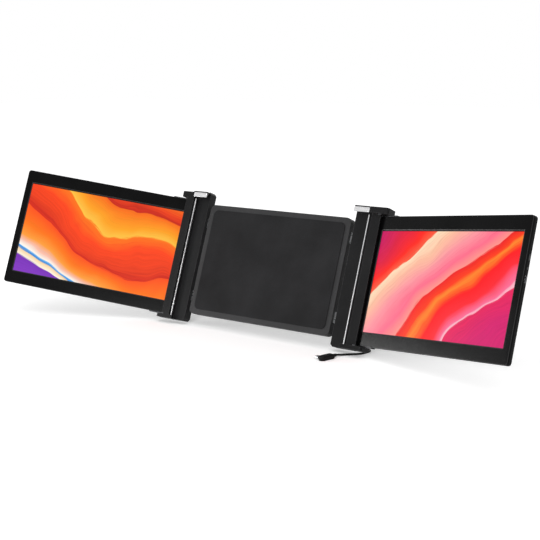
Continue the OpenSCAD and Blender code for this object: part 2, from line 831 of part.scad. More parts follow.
// Metal shell that stands out of the grip's side
module plug_shell() {
    color("#b9bbbd") at_plug() translate([-grip_w / 2 - shell_l, relief_l + grip_l - grip_w / 2, 0])
        rotate([90, 0, 90]) linear_extrude(shell_l) {
            square([shell_w - shell_t, shell_t], center = true);
            for (s = [-1, 1]) translate([s * (shell_w - shell_t) / 2, 0]) circle(shell_t / 2);
        }
}

// ---------- sub-parts of each side ----------

module left_bracket_front() {
    left_side() bracket_front(left_front, left_axis_y, left_post_back, left_block_reach, left_block_back);
}
module right_bracket_front() {
    bracket_front(right_front, right_axis_y, right_post_back, right_block_reach, right_block_back);
}
module left_bracket_rear() {
    left_side() bracket_rear(left_front, left_axis_y, left_block_reach, left_block_back);
}
module right_bracket_rear() {
    bracket_rear(right_front, right_axis_y, right_block_reach, right_block_back);
}
module left_slide_rails() { left_side() slide_rails(); }
module right_slide_rails() { slide_rails(); }
module left_side_pad() { left_side() side_pad(); }
module right_side_pad() { side_pad(); }
module left_edge_strip() { left_side() edge_strip(); }
module right_edge_strip() { edge_strip(); }
module left_hinge_barrels() { left_side() hinge_barrels(left_axis_y); }
module right_hinge_barrels() { hinge_barrels(right_axis_y); }
module left_bracket_screws() { left_side() bracket_screws(); }
module right_bracket_screws() { bracket_screws(); }
module left_lid_clip() { left_side() lid_clip(); }
module right_lid_clip() { lid_clip(); }
module left_clip_cap() { left_side() clip_cap(); }
module right_clip_cap() { clip_cap(); }
module left_bezel() { left_hinge() bezel(); }
module right_bezel() { right_hinge() bezel(); }
module left_back_cover() { left_hinge() back_cover(); }
module right_back_cover() { right_hinge() back_cover(); }
module left_lcd_panel() { left_hinge() lcd_panel(); }
module right_lcd_panel() { right_hinge() lcd_panel(); }
module left_backlight() { left_hinge() backlight(); }
module right_backlight() { right_hinge() backlight(); }
module left_driver_board() { left_hinge() driver_board(); }
module right_driver_board() { right_hinge() driver_board(); }
module left_data_socket() { left_hinge() data_socket(); }
module right_data_socket() { right_hinge() data_socket(); }
module left_key_board() { left_hinge() key_board(); }
module right_key_board() { right_hinge() key_board(); }
module left_hinge_arms() { left_hinge() hinge_arms(); }
module right_hinge_arms() { right_hinge() hinge_arms(); }
module left_screen_screws() { left_hinge() screen_screws(); }
module right_screen_screws() { right_hinge() screen_screws(); }
module left_power_button() { left_hinge() power_button(); }
module right_power_button() { right_hinge() power_button(); }
module left_rocker_button() { left_hinge() rocker_button(); }
module right_rocker_button() { right_hinge() rocker_button(); }

seat_mat();
housing_front();
housing_back();
rail_guides();
housing_screws();
left_bracket_front();
left_bracket_rear();
left_slide_rails();
left_side_pad();
left_edge_strip();
left_hinge_barrels();
left_bracket_screws();
left_lid_clip();
left_clip_cap();
right_bracket_front();
right_bracket_rear();
right_slide_rails();
right_side_pad();
right_edge_strip();
right_hinge_barrels();
right_bracket_screws();
right_lid_clip();
right_clip_cap();
left_bezel();
left_back_cover();
left_lcd_panel();
left_backlight();
left_driver_board();
left_data_socket();
left_key_board();
left_hinge_arms();
left_screen_screws();
left_power_button();
left_rocker_button();
right_bezel();
right_back_cover();
right_lcd_panel();
right_backlight();
right_driver_board();
right_data_socket();
right_key_board();
right_hinge_arms();
right_screen_screws();
right_power_button();
right_rocker_button();
cable_gland();
power_cable();
plug_grip();
plug_shell();
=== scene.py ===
"""Looks of the laptop screen extender: camera, floor, light, materials and the dressed pieces."""

import json
from math import atan2, cos, pi, radians, sin

import bmesh
import bpy
from mathutils import Matrix, Vector


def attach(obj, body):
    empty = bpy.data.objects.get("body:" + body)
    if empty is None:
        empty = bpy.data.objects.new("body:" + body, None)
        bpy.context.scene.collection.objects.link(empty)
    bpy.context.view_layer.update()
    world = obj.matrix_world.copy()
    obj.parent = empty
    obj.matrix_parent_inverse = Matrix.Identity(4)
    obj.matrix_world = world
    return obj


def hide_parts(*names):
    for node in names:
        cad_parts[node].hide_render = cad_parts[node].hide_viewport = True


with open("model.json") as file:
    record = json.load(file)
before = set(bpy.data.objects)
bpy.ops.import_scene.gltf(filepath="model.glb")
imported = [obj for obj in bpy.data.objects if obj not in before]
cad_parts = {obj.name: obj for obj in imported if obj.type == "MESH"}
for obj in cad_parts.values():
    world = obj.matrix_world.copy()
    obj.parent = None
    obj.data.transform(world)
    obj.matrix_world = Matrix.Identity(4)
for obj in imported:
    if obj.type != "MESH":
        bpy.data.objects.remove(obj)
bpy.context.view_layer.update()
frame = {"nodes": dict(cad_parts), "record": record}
NODES = frame["nodes"]
MM = 0.001

# ---------- sizes, in millimetres and degrees ----------
# A screen's sizes are in its hinge frame: X outwards from the axis, Y behind it and Z up.
# Boxes are x0, x1, z0, z1.
SWING = {"left": 26.2, "right": 20.5}
AXIS_Y = {"left": 2.3, "right": -7.1}
HINGE_X = 175.0
FACE_Y, SPLIT_Y, BACK_Y = 7.0, 10.5, 16.0
SCREEN = (-6.4, 270.3, -92.2, 92.2)
SCREEN_R = 4.0
PICTURE = (2.8, 259.1, -72.2, 72.0)
PANEL_BORDER = 0.9
GLASS_Y, TRAY_Y, BOARD_Y = 7.9, 9.0, 13.2
GLASS_RIM, POCKET_RIM = 3.0, 3.2
COVER_WALL, COVER_ROLL = 1.6, 2.0
KEY_Y = 12.45
KEYS = [(27.0, 2.8, 1.4), (40.5, 9.0, 1.2)]  # height, length, radius
SOCKET = (13.5, 9.0, 1.6)
KEY_GAP, KEY_OUT, KEY_IN, MOUTH_IN = 0.1, 0.5, 3.4, 3.0
SCREEN_SCREW_X, SCREEN_SCREW_Z = (13.6, 123.95, 240.3), 84.2
ARM_SCREW_X, ARM_SCREW_Y, ARM_T = (7.5, 18.5), 12.4, 1.5

# screws and the holes for them
SHANK_R, HEAD_R = 1.1, 2.1
SHANK_HOLE_R, HEAD_HOLE_R, HEAD_DEPTH, BORE_DEPTH = 1.15, 2.3, 1.25, 4.0
OVERCUT = 1.0

# brackets, clips and housing
RAIL_SCREW_X, RAIL_Z, REAR_OUT = (142.0, 156.6), 58.0, 15.5
HOUSING_SCREW_X, HOUSING_SCREW_Z = (-112.0, 0.0, 112.0), 78.0
CLIP_X, CLIP_TOP, CLIP_H, CLIP_HALF_W = 144.8, 101.5, 7.2, 12.5
CLIP_FRONT, CLIP_BACK, CLIP_STEM, STEM_HALF_W = -9.1, 4.2, 32.0, 9.0
CLIP_BEND, CLIP_T = 1.6, 1.0
BRIDGE_TOP = CLIP_TOP - 0.02
BLOCK_REACH = {"left": 10.0, "right": 13.3}
BLOCK_FROM, BLOCK_IN, BLOCK_H, FOOT_H = 166.6, 94.0, 8.7, 5.4
SEAM_W, SEAM_D = 0.5, 0.8

# which CAD edges are broken, and how finely round shapes are divided
BEVEL_ANGLE, SHORTEST_EDGE = 30.0, 0.4
CORNER_STEPS, SIDES = 6, 24

# the table under the object, from which the lid leans back
TABLE_H = -100.0
LEAN = radians(21.3)
TABLE_UP = Vector((0, -sin(LEAN), cos(LEAN)))

# ---------- camera ----------
# place, axes and lens were solved from the corners of the pictures in the photo
CAMERA_AT = Vector((915.36, -1326.26, -179.69)) * MM
camera_data = bpy.data.cameras.new("camera")
camera = bpy.data.objects.new("camera", camera_data)
bpy.context.scene.collection.objects.link(camera)
bpy.context.scene.camera = camera
camera_data.sensor_width = 36.0
camera_data.lens = 73.05
camera_data.clip_start, camera_data.clip_end = 0.05, 50.0
camera_right = Vector((0.81999, 0.53485, 0.20386))
camera_up = Vector((-0.10902, -0.20371, 0.97294))
camera_back = camera_right.cross(camera_up).normalized()
camera_up = camera_back.cross(camera_right).normalized()
camera_right.normalize()
facing = Matrix((camera_right, camera_up, camera_back)).transposed().to_4x4()
camera.matrix_world = Matrix.Translation(CAMERA_AT) @ facing


# ---------- node helpers ----------
def new_material(name):
    """Material, its node tree and the Principled shader that drives its surface."""
    material = bpy.data.materials.new(name)
    material.use_nodes = True
    shader = material.node_tree.nodes["Principled BSDF"]
    return material, material.node_tree, shader


def plug(tree, socket, value):
    """Links a socket or sets a plain value."""
    if isinstance(value, bpy.types.NodeSocket):
        tree.links.new(value, socket)
    elif value is not None:
        socket.default_value = value


def math(tree, operation, a, b=None, c=None, clamp=False):
    """One Math node on numbers or sockets."""
    made = tree.nodes.new("ShaderNodeMath")
    made.operation = operation
    made.use_clamp = clamp
    for socket, value in zip(made.inputs, (a, b, c)):
        plug(tree, socket, value)
    return made.outputs[0]


def mix_colour(tree, factor, a, b):
    """Colour a where the factor is 0 and colour b where it is 1."""
    made = tree.nodes.new("ShaderNodeMix")
    made.data_type = "RGBA"
    plug(tree, made.inputs["Factor"], factor)
    plug(tree, made.inputs[6], a)
    plug(tree, made.inputs[7], b)
    return made.outputs[2]


def map_range(tree, value, low, high, to_low, to_high, smooth=False):
    """The value moved from one range to another, and held inside it."""
    made = tree.nodes.new("ShaderNodeMapRange")
    if smooth:
        made.interpolation_type = "SMOOTHSTEP"
    plug(tree, made.inputs["Value"], value)
    made.inputs["From Min"].default_value = low
    made.inputs["From Max"].default_value = high
    made.inputs["To Min"].default_value = to_low
    made.inputs["To Max"].default_value = to_high
    return made.outputs["Result"]


def noise(tree, coordinates, scale, detail=3.0, rough=0.5):
    """Soft noise round 0.5."""
    made = tree.nodes.new("ShaderNodeTexNoise")
    plug(tree, made.inputs["Vector"], coordinates)
    made.inputs["Scale"].default_value = scale
    made.inputs["Detail"].default_value = detail
    made.inputs["Roughness"].default_value = rough
    return made.outputs["Fac"]


def stretched(tree, factors):
    """Object coordinates scaled along each axis."""
    place = tree.nodes.new("ShaderNodeTexCoord")
    scale = tree.nodes.new("ShaderNodeMapping")
    plug(tree, scale.inputs["Vector"], place.outputs["Object"])
    scale.inputs["Scale"].default_value = factors
    return scale.outputs["Vector"]


def bumped(tree, height, distance):
    """Normal of a surface raised by a height, times a distance in metres."""
    made = tree.nodes.new("ShaderNodeBump")
    made.inputs["Strength"].default_value = 1.0
    made.inputs["Distance"].default_value = distance
    plug(tree, made.inputs["Height"], height)
    return made.outputs["Normal"]


def vector_math(tree, operation, a, b):
    """One Vector Math node; b is a number for SCALE and a vector otherwise."""
    made = tree.nodes.new("ShaderNodeVectorMath")
    made.operation = operation
    plug(tree, made.inputs[0], a)
    plug(tree, made.inputs["Scale" if operation == "SCALE" else 1], b)
    return made.outputs["Value" if operation == "DOT_PRODUCT" else "Vector"]


def srgb(r, g, b):
    """Colour given as 0 to 255 on screen, turned linear."""
    linear = [((c / 255 + 0.055) / 1.055) ** 2.4 if c > 10 else c / 255 / 12.92 for c in (r, g, b)]
    return (*linear, 1.0)


def grey(value):
    """Linear grey, a touch cool."""
    return (value, value, value * 1.06, 1.0)


# ---------- materials ----------
RUBBED, RUBBED_WIDTH = (0.35, 0.35, 0.36, 1.0), 0.0009


def moulded(name, dark, pale, rough, specular, grain, grain_depth, wear=0.0):
    """Moulded plastic, rubber or paint: fine grain, uneven tone and gloss, and slightly rubbed edges."""
    material, tree, shader = new_material(name)
    coords = stretched(tree, (1, 1, 1))
    broad = noise(tree, coords, 18.0, 4.0)
    fine = noise(tree, coords, grain, 2.0)
    tone = mix_colour(tree, map_range(tree, broad, 0.3, 0.7, 0.0, 1.0), dark, pale)
    if wear:
        rounded = tree.nodes.new("ShaderNodeBevel")
        rounded.samples = 4
        rounded.inputs["Radius"].default_value = RUBBED_WIDTH
        flat = tree.nodes.new("ShaderNodeNewGeometry")
        along = vector_math(tree, "DOT_PRODUCT", rounded.outputs["Normal"], flat.outputs["Normal"])
        rub = math(tree, "MULTIPLY", map_range(tree, along, 0.99, 0.9, 0.0, wear), broad, clamp=True)
        tone = mix_colour(tree, rub, tone, RUBBED)
    plug(tree, shader.inputs["Base Color"], tone)
    uneven = math(tree, "ADD", broad, fine)
    plug(tree, shader.inputs["Roughness"], map_range(tree, uneven, 0.6, 1.4, rough - 0.07, rough + 0.09))
    shader.inputs["Specular IOR Level"].default_value = specular
    plug(tree, shader.inputs["Normal"], bumped(tree, fine, grain_depth))
    return material


def metal(name, dark, pale, rough, stretch, scale, depth=0.000006):
    """Metal with a brushed or rolled grain, drawn out along the axis with the least stretch factor."""
    material, tree, shader = new_material(name)
    coords = stretched(tree, stretch)
    streak = noise(tree, coords, scale, 5.0, 0.6)
    broad = noise(tree, stretched(tree, (1, 1, 1)), 25.0, 3.0)
    uneven = map_range(tree, math(tree, "ADD", streak, broad), 0.7, 1.3, 0.0, 1.0)
    plug(tree, shader.inputs["Base Color"], mix_colour(tree, uneven, dark, pale))
    plug(tree, shader.inputs["Roughness"], map_range(tree, streak, 0.3, 0.7, rough - 0.06, rough + 0.1))
    shader.inputs["Metallic"].default_value = 1.0
    plug(tree, shader.inputs["Normal"], bumped(tree, streak, depth))
    return material


BEZEL = moulded("bezel_black", grey(0.0018), grey(0.0027), 0.26, 0.05, 1400.0, 0.000012)
# bezel edges: glossier than the face, and a lighter black that is a painted highlight along the edges and
# round the window
BEZEL_EDGE_HIGHLIGHT = moulded("bezel_edge_highlight", grey(0.008), grey(0.012), 0.36, 0.22, 1400.0, 0.000006)
COVER = moulded("cover_black", grey(0.0042), grey(0.0068), 0.5, 0.11, 700.0, 0.00004)
# the cover's flat back: a coarser, glossier grain, and a lighter black than the cover's that is painted
# light, since only the world lights the back
COVER_BACK_PAINTED_LIGHT = moulded("cover_back_grain_painted_light", grey(0.014), grey(0.021), 0.58, 0.3, 420.0, 0.00007)
HOUSING = moulded("housing_black", grey(0.012), grey(0.018), 0.54, 0.24, 600.0, 0.00005, wear=0.15)
SHELL = moulded("shell_black", grey(0.009), grey(0.013), 0.48, 0.14, 700.0, 0.00004, wear=0.15)
FRAME = moulded("frame_black", grey(0.0054), grey(0.008), 0.42, 0.09, 1000.0, 0.00002, wear=0.2)
FOAM = moulded("mat_foam", grey(0.008), grey(0.016), 0.85, 0.12, 500.0, 0.00012)
RUBBER = moulded("pad_rubber", grey(0.004), grey(0.006), 0.75, 0.12, 600.0, 0.00003)
ACETAL = moulded("guide_acetal", (0.55, 0.53, 0.47, 1), (0.64, 0.62, 0.57, 1), 0.4, 0.4, 500.0, 0.00001)
KEY = moulded("key_black", grey(0.02), grey(0.03), 0.3, 0.5, 900.0, 0.00001)
CORD = moulded("cord_black", grey(0.002), grey(0.004), 0.45, 0.13, 700.0, 0.00002)
RAIL = metal("rail_steel", (0.42, 0.43, 0.44, 1), (0.58, 0.59, 0.6, 1), 0.28, (0.04, 1, 1), 900.0)
CLIP = metal("clip_steel", (0.5, 0.5, 0.51, 1), (0.64, 0.64, 0.645, 1), 0.34, (0.1, 1, 1), 700.0)
STRIP = metal("strip_steel", (0.48, 0.48, 0.49, 1), (0.62, 0.62, 0.625, 1), 0.36, (1, 1, 0.03), 900.0,
              0.000003)
TRAY = metal("tray_steel", (0.45, 0.46, 0.47, 1), (0.6, 0.61, 0.62, 1), 0.35, (0.05, 1, 1), 600.0)
TIN = metal("connector_steel", (0.5, 0.51, 0.52, 1), (0.66, 0.67, 0.68, 1), 0.25, (1, 1, 0.1), 700.0)
SCREW = metal("screw_steel", (0.05, 0.05, 0.055, 1), (0.11, 0.11, 0.115, 1), 0.35, (1, 1, 1), 1500.0)
ARM = metal("arm_steel", (0.03, 0.03, 0.032, 1), (0.06, 0.06, 0.064, 1), 0.4, (0.1, 1, 1), 800.0)
# the record's material slots, for the CAD nodes that are shown as they are
SLOT = {
    "bezel_black": BEZEL, "cover_black": COVER, "shell_black": SHELL, "frame_black": FRAME, "mat_foam": FOAM,
    "pad_rubber": RUBBER, "guide_acetal": ACETAL, "key_black": KEY, "cord_black": CORD, "rail_steel": RAIL,
    "clip_steel": CLIP, "tray_steel": TRAY, "connector_steel": TIN, "screw_steel": SCREW, "arm_steel": ARM,
}


def board_material(name, side=None):
    """Green board with traces. A driver board's side gives it black packages towards the panel."""
    material, tree, shader = new_material(name)
    coords = stretched(tree, (1, 1, 1))
    cells = tree.nodes.new("ShaderNodeTexVoronoi")
    cells.distance = "MANHATTAN"
    plug(tree, cells.inputs["Vector"], coords)
    cells.inputs["Scale"].default_value = 260.0
    trace = map_range(tree, cells.outputs["Distance"], 0.2, 0.24, 1.0, 0.0)
    tone = mix_colour(tree, trace, (0.012, 0.09, 0.035, 1), (0.03, 0.17, 0.07, 1))
    if side:
        swing = radians(SWING[side])
        behind = (sin(swing) if side == "right" else -sin(swing), cos(swing), 0.0)
        depth = vector_math(tree, "DOT_PRODUCT", coords, behind)
        surface = (HINGE_X * sin(swing) + AXIS_Y[side] * cos(swing) + BOARD_Y - 0.05) * MM
        tone = mix_colour(tree, math(tree, "LESS_THAN", depth, surface), tone, (0.01, 0.01, 0.011, 1))
    plug(tree, shader.inputs["Base Color"], tone)
    plug(tree, shader.inputs["Roughness"], map_range(tree, noise(tree, coords, 60.0), 0.3, 0.7, 0.25, 0.4))
    plug(tree, shader.inputs["Normal"], bumped(tree, trace, 0.00003))
    return material


# ---------- pictures on the panels ----------
def swirled(tree, place, scale, strength, detail=1.0):
    """The place pushed about by a soft noise, as wet paint is."""
    made = tree.nodes.new("ShaderNodeTexNoise")
    plug(tree, made.inputs["Vector"], place)
    made.inputs["Scale"].default_value = scale
    made.inputs["Detail"].default_value = detail
    push = vector_math(tree, "SUBTRACT", made.outputs["Color"], (0.5, 0.5, 0.5))
    return vector_math(tree, "ADD", place, vector_math(tree, "SCALE", push, strength))


# Each picture: the direction across its bands, the seed of its noise, and the colours along that direction as
# (place, colour). Close pairs make a crisp edge.
PAINTS = {
    "left": ((0.4, 0.9), (3.1, 7.3, 0.4), [
        (0.00, (138, 62, 200)), (0.15, (122, 52, 184)), (0.155, (255, 246, 226)), (0.20, (250, 214, 160)),
        (0.205, (52, 132, 214)), (0.225, (96, 178, 240)), (0.23, (255, 250, 240)), (0.27, (248, 190, 170)),
        (0.31, (255, 160, 60)), (0.38, (255, 120, 24)), (0.45, (255, 84, 26)), (0.455, (206, 40, 24)),
        (0.49, (232, 62, 26)), (0.58, (255, 72, 26)), (0.66, (255, 120, 26)), (0.665, (255, 196, 70)),
        (0.72, (255, 164, 34)), (0.82, (250, 110, 22)), (0.825, (196, 38, 22)), (0.87, (236, 66, 24)),
        (1.00, (255, 132, 28))]),
    "right": ((-0.65, 0.76), (5.6, 1.9, 0.8), [
        (0.00, (214, 30, 110)), (0.14, (232, 34, 92)), (0.145, (255, 196, 210)), (0.16, (250, 110, 150)),
        (0.22, (255, 40, 50)), (0.30, (255, 22, 26)), (0.33, (255, 92, 24)), (0.36, (255, 136, 40)),
        (0.385, (255, 60, 20)), (0.44, (240, 30, 30)), (0.445, (255, 150, 140)), (0.52, (255, 110, 140)),
        (0.62, (252, 150, 160)), (0.72, (252, 190, 160)), (0.78, (254, 226, 190)), (0.785, (250, 90, 60)),
        (0.84, (255, 36, 24)), (0.92, (226, 26, 60)), (1.00, (200, 22, 96))]),
}


def picture_material(side):
    """Panel glass that shows a picture of its own: paint drawn out in long bands."""
    material, tree, shader = new_material("panel_" + side)
    across, seed, stops = PAINTS[side]
    uv = tree.nodes.new("ShaderNodeUVMap")
    uv.uv_map = "picture"
    wide = vector_math(tree, "MULTIPLY", uv.outputs["UV"], (16 / 9, 1.0, 0.0))
    place = vector_math(tree, "ADD", wide, seed)
    flow = swirled(tree, swirled(tree, place, 0.9, 0.75), 2.1, 0.2, 2.0)
    start = sum(a * b for a, b in zip(across, seed))
    band = math(tree, "SUBTRACT", vector_math(tree, "DOT_PRODUCT", flow, (*across, 0.0)), start)
    low, high = min(0.0, across[0] * 16 / 9), max(0.0, across[0] * 16 / 9) + across[1]
    ramp = tree.nodes.new("ShaderNodeValToRGB")
    points = ramp.color_ramp.elements
    while len(points) < len(stops):
        points.new(0.5)
    for point, (position, shade) in zip(points, stops):
        point.position = position
        point.color = srgb(*shade)

    # brush marks: fine streaks along the bands
    marks = tree.nodes.new("ShaderNodeCombineXYZ")
    lengthwise = vector_math(tree, "DOT_PRODUCT", flow, (across[1] * 0.9, -across[0] * 0.9, 0.0))
    plug(tree, marks.inputs["X"], lengthwise)
    plug(tree, marks.inputs["Y"], math(tree, "MULTIPLY", band, 22.0))
    streak = math(tree, "SUBTRACT", noise(tree, marks.outputs[0], 2.6, 9.0, 0.68), 0.5)
    shifted = math(tree, "MULTIPLY_ADD", streak, 0.09, band)
    plug(tree, ramp.inputs["Fac"], map_range(tree, shifted, low, high, 0.0, 1.0))
    light = tree.nodes.new("ShaderNodeHueSaturation")
    plug(tree, light.inputs["Color"], ramp.outputs["Color"])
    plug(tree, light.inputs["Value"], math(tree, "MULTIPLY_ADD", streak, 0.5, 1.0))
    shader.inputs["Base Color"].default_value = (0.004, 0.004, 0.005, 1)
    shader.inputs["Roughness"].default_value = 0.3
    shader.inputs["Specular IOR Level"].default_value = 0.04
    shader.inputs["Emission Strength"].default_value = 1.0

    # the panel's dark border, which shows along its top
    height = vector_math(tree, "DOT_PRODUCT", uv.outputs["UV"], (0.0, 1.0, 0.0))
    border = math(tree, "GREATER_THAN", height, 1 - PANEL_BORDER / (PICTURE[3] - PICTURE[2]))
    shown = mix_colour(tree, border, light.outputs["Color"], (0, 0, 0, 1))
    plug(tree, shader.inputs["Emission Color"], shown)
    return material


# ---------- mesh helpers ----------
def row_point(side, point):
    """A point of a screen's hinge frame in the row frame, in metres."""
    out, behind, up = point
    a = radians(SWING[side])
    x = HINGE_X + out * cos(a) + behind * sin(a)
    y = AXIS_Y[side] - out * sin(a) + behind * cos(a)
    return Vector((x if side == "right" else -x, y, up)) * MM


def swung(side, bm):
    """The mesh moved from its screen's hinge frame to the row frame."""
    for vert in bm.verts:
        vert.co = row_point(side, vert.co)
    return bm


def in_metres(bm, side="right"):
    """The mesh turned from millimetres to metres, and mirrored for the left side."""
    if side == "left":
        bmesh.ops.scale(bm, vec=(-1, 1, 1), verts=bm.verts)
    bmesh.ops.scale(bm, vec=(MM, MM, MM), verts=bm.verts)
    return bm


def grown(box, by):
    """A box with each side moved outwards."""
    x0, x1, z0, z1 = box
    return (x0 - by, x1 + by, z0 - by, z1 + by)


def add_object(name, bm, material, body, replaced, sharp=40):
    """Finishes a mesh: welded, outward, smooth with sharp corners, riding on its body."""
    bmesh.ops.remove_doubles(bm, verts=bm.verts, dist=1e-7)
    bmesh.ops.recalc_face_normals(bm, faces=bm.faces)
    for face in bm.faces:
        face.smooth = True
    mesh = bpy.data.meshes.new(name)
    bm.to_mesh(mesh)
    bm.free()
    mesh.set_sharp_from_angle(angle=radians(sharp))
    mesh.materials.append(material)
    made = bpy.data.objects.new(name, mesh)
    bpy.context.scene.collection.objects.link(made)
    weights = made.modifiers.new("weights", "WEIGHTED_NORMAL")
    weights.keep_sharp = True
    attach(made, body)
    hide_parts(replaced)
    return made


def rounded_loop(box, radius, depth, inset=0.0):
    """Points of a rectangle with round corners: (x, depth, z)."""
    x0, x1, z0, z1 = grown(box, -inset)
    r = max(radius - inset, 0.15)
    corners = [(x1 - r, z1 - r), (x0 + r, z1 - r), (x0 + r, z0 + r), (x1 - r, z0 + r)]
    points = []
    for quarter, (cx, cz) in enumerate(corners):
        for k in range(CORNER_STEPS + 1):
            a = radians(90 * quarter + 90 * k / CORNER_STEPS)
            points.append((cx + r * cos(a), depth, cz + r * sin(a)))
    return points


def stadium(x, key, grow=0.0):
    """Round or round-ended section of a key or socket across the screen's outer edge."""
    z, length, radius = key
    length, radius = length + grow, radius + grow
    half = max(length / 2 - radius, 0.0)
    points = []
    for k in range(SIDES):
        a = 2 * pi * (k + 0.5) / SIDES
        points.append((x, KEY_Y + radius * sin(a), z + (half if cos(a) > 0 else -half) + radius * cos(a)))
    return points


def loft(bm, loops, closed=False):
    """Joins loops of equal length into a skin, with a cap at each end unless it is closed."""
    rings = [[bm.verts.new(p) for p in loop] for loop in loops]
    count = len(rings[0])
    pairs = list(zip(rings, rings[1:]))
    if closed:
        pairs.append((rings[-1], rings[0]))
    for a, b in pairs:
        for k in range(count):
            n = (k + 1) % count
            bm.faces.new((a[k], a[n], b[n], b[k]))
    if not closed:
        bm.faces.new(list(reversed(rings[0])))
        bm.faces.new(rings[-1])


def carved(bm, cutters):
    """The mesh with the closed cutter meshes taken out of it."""
    made = []
    for source in (bm, cutters):
        bmesh.ops.recalc_face_normals(source, faces=source.faces)
        mesh = bpy.data.meshes.new("carving")
        source.to_mesh(mesh)
        source.free()
        made.append(bpy.data.objects.new("carving", mesh))
        bpy.context.scene.collection.objects.link(made[-1])
    taken = made[0].modifiers.new("cut", "BOOLEAN")
    taken.operation, taken.solver, taken.object = "DIFFERENCE", "EXACT", made[1]
    result = bmesh.new()
    result.from_mesh(made[0].evaluated_get(bpy.context.evaluated_depsgraph_get()).to_mesh())
    for thing in made:
        mesh = thing.data
        bpy.data.objects.remove(thing)
        bpy.data.meshes.remove(mesh)
    return result


def refined(name, source, width, material, body, segments=2, grooves=None):
    """A CAD node's shape with its outer edges broken: joined faces, bevelled edges, then grooves cut in."""
    bm = bmesh.new()
    bm.from_mesh(NODES[source].data)
    bmesh.ops.remove_doubles(bm, verts=bm.verts, dist=2e-6)
    bmesh.ops.dissolve_limit(bm, angle_limit=radians(1.0), verts=bm.verts, edges=bm.edges)
    edges = [e for e in bm.edges if len(e.link_faces) == 2
             and e.calc_face_angle(0) > radians(BEVEL_ANGLE) and e.calc_length() > SHORTEST_EDGE * MM]
    bmesh.ops.bevel(bm, geom=edges, offset=width * MM, segments=segments, profile=0.5, affect="EDGES",
                    clamp_overlap=True)
    if grooves:
        bm = carved(bm, grooves)
    return add_object(name, bm, material, body, source)


def spanned(axis):
    """The axis as a unit vector, and two unit vectors across it."""
    axis = Vector(axis).normalized()
    u = axis.orthogonal().normalized()
    return axis, u, axis.cross(u)


def ring(centre, u, v, r, sides=SIDES):
    """Points of a circle in the plane of u and v."""
    return [centre + (u * cos(2 * pi * k / sides) + v * sin(2 * pi * k / sides)) * r for k in range(sides)]


def turned(bm, centre, axis, profile, sides=SIDES):
    """Turned shape: profile is (distance along the axis, radius) from the centre."""
    axis, u, v = spanned(axis)
    loft(bm, [ring(Vector(centre) + axis * d, u, v, r, sides) for d, r in profile])


def cross_loop(centre, u, v, arm, half):
    """Points round a cross-shaped recess, as many as a ring has."""
    corner = [(arm, -half), (arm, half), (half, half)]
    points = []
    for quarter in range(4):
        a = quarter * pi / 2
        points += [(x * cos(a) - y * sin(a), x * sin(a) + y * cos(a)) for x, y in corner]
    filled = []
    for (x0, y0), (x1, y1) in zip(points, points[1:] + points[:1]):
        filled += [(x0, y0), ((x0 + x1) / 2, (y0 + y1) / 2)]
    start = min(range(len(filled)), key=lambda k: abs(atan2(filled[k][1], filled[k][0])))
    filled = filled[start:] + filled[:start]
    return [centre + u * x + v * y for x, y in filled]


def screw(bm, top, axis, head_t, length):
    """Machine screw with a pan head and a cross recess: top is the middle of the head's top."""
    top = Vector(top)
    axis, u, v = spanned(axis)
    profile = [(length, SHANK_R * 0.75), (length - 0.4, SHANK_R), (head_t, SHANK_R), (head_t, HEAD_R),
               (0.45, HEAD_R), (0.16, HEAD_R - 0.16), (0.0, HEAD_R - 0.55), (0.0, HEAD_R * 0.6)]
    loops = [ring(top - axis * depth, u, v, r) for depth, r in profile]
    loops.append(cross_loop(top, u, v, HEAD_R * 0.5, HEAD_R * 0.13))
    loops.append(cross_loop(top - axis * 0.55, u, v, HEAD_R * 0.4, HEAD_R * 0.1))
    loft(bm, loops)


def back_screws(places, height, top_y, head_t, length):
    """Mesh of screws put in from behind, a row above the middle and a row below it."""
    bm = bmesh.new()
    for x in places:
        for s in (-1, 1):
            screw(bm, (x, top_y, s * height), (0, 1, 0), head_t, length)
    return bm


# ---------- cable ----------
def on_table(p):
    """A point given along the table, in millimetres, in the row frame, in metres."""
    x, y, z = p
    return Vector((x, y * cos(LEAN) - z * sin(LEAN), y * sin(LEAN) + z * cos(LEAN))) * MM


CABLE_EXIT = Vector((169, 14.5, -96.7)) * MM
CABLE_R = 1.5
TABLE_ROUTE = [
    (169, -18.8, -96.4), (169, -15.8, -97.4), (169, -12.8, -98.1), (169, -9.9, -98.5),
    (169.5, -7.5, -98.5), (170.8, -5.5, -98.5), (172.9, -4.1, -98.5), (175.3, -3.6, -98.5),
    (177.7, -4.1, -98.5), (179.7, -5.5, -98.5), (181, -7.5, -98.5), (181.5, -9.9, -98.5),
    (181.6, -13.2, -98.5), (181.2, -17, -98.5), (180.3, -21, -98.5), (178.8, -25.2, -98.5),
    (176.5, -29.2, -98.5), (173.6, -32.8, -98.5), (170.3, -36, -98.5), (166.9, -39, -98.5),
    (163.6, -42, -98.5), (160.8, -45.3, -98.4), (158.7, -49, -98), (157.2, -52.8, -97.3),
    (156, -56.6, -96.8),
]
PLUG_TURN = radians(16.5)
ROUTE = [CABLE_EXIT] + [on_table(p) for p in TABLE_ROUTE]
cable_data = bpy.data.curves.new("power_cord", "CURVE")
cable_data.dimensions = "3D"
cable_data.bevel_depth = CABLE_R * MM
cable_data.bevel_resolution = 5
cable_data.resolution_u = 6
cable_data.use_fill_caps = True
spline = cable_data.splines.new("POLY")
spline.points.add(len(ROUTE) - 1)
for point, at in zip(spline.points, ROUTE):
    point.co = (*at, 1.0)
cable_data.materials.append(CORD)
power_cord = bpy.data.objects.new("power_cord", cable_data)
bpy.context.scene.collection.objects.link(power_cord)
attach(power_cord, "right_bracket")
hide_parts("power_cable")


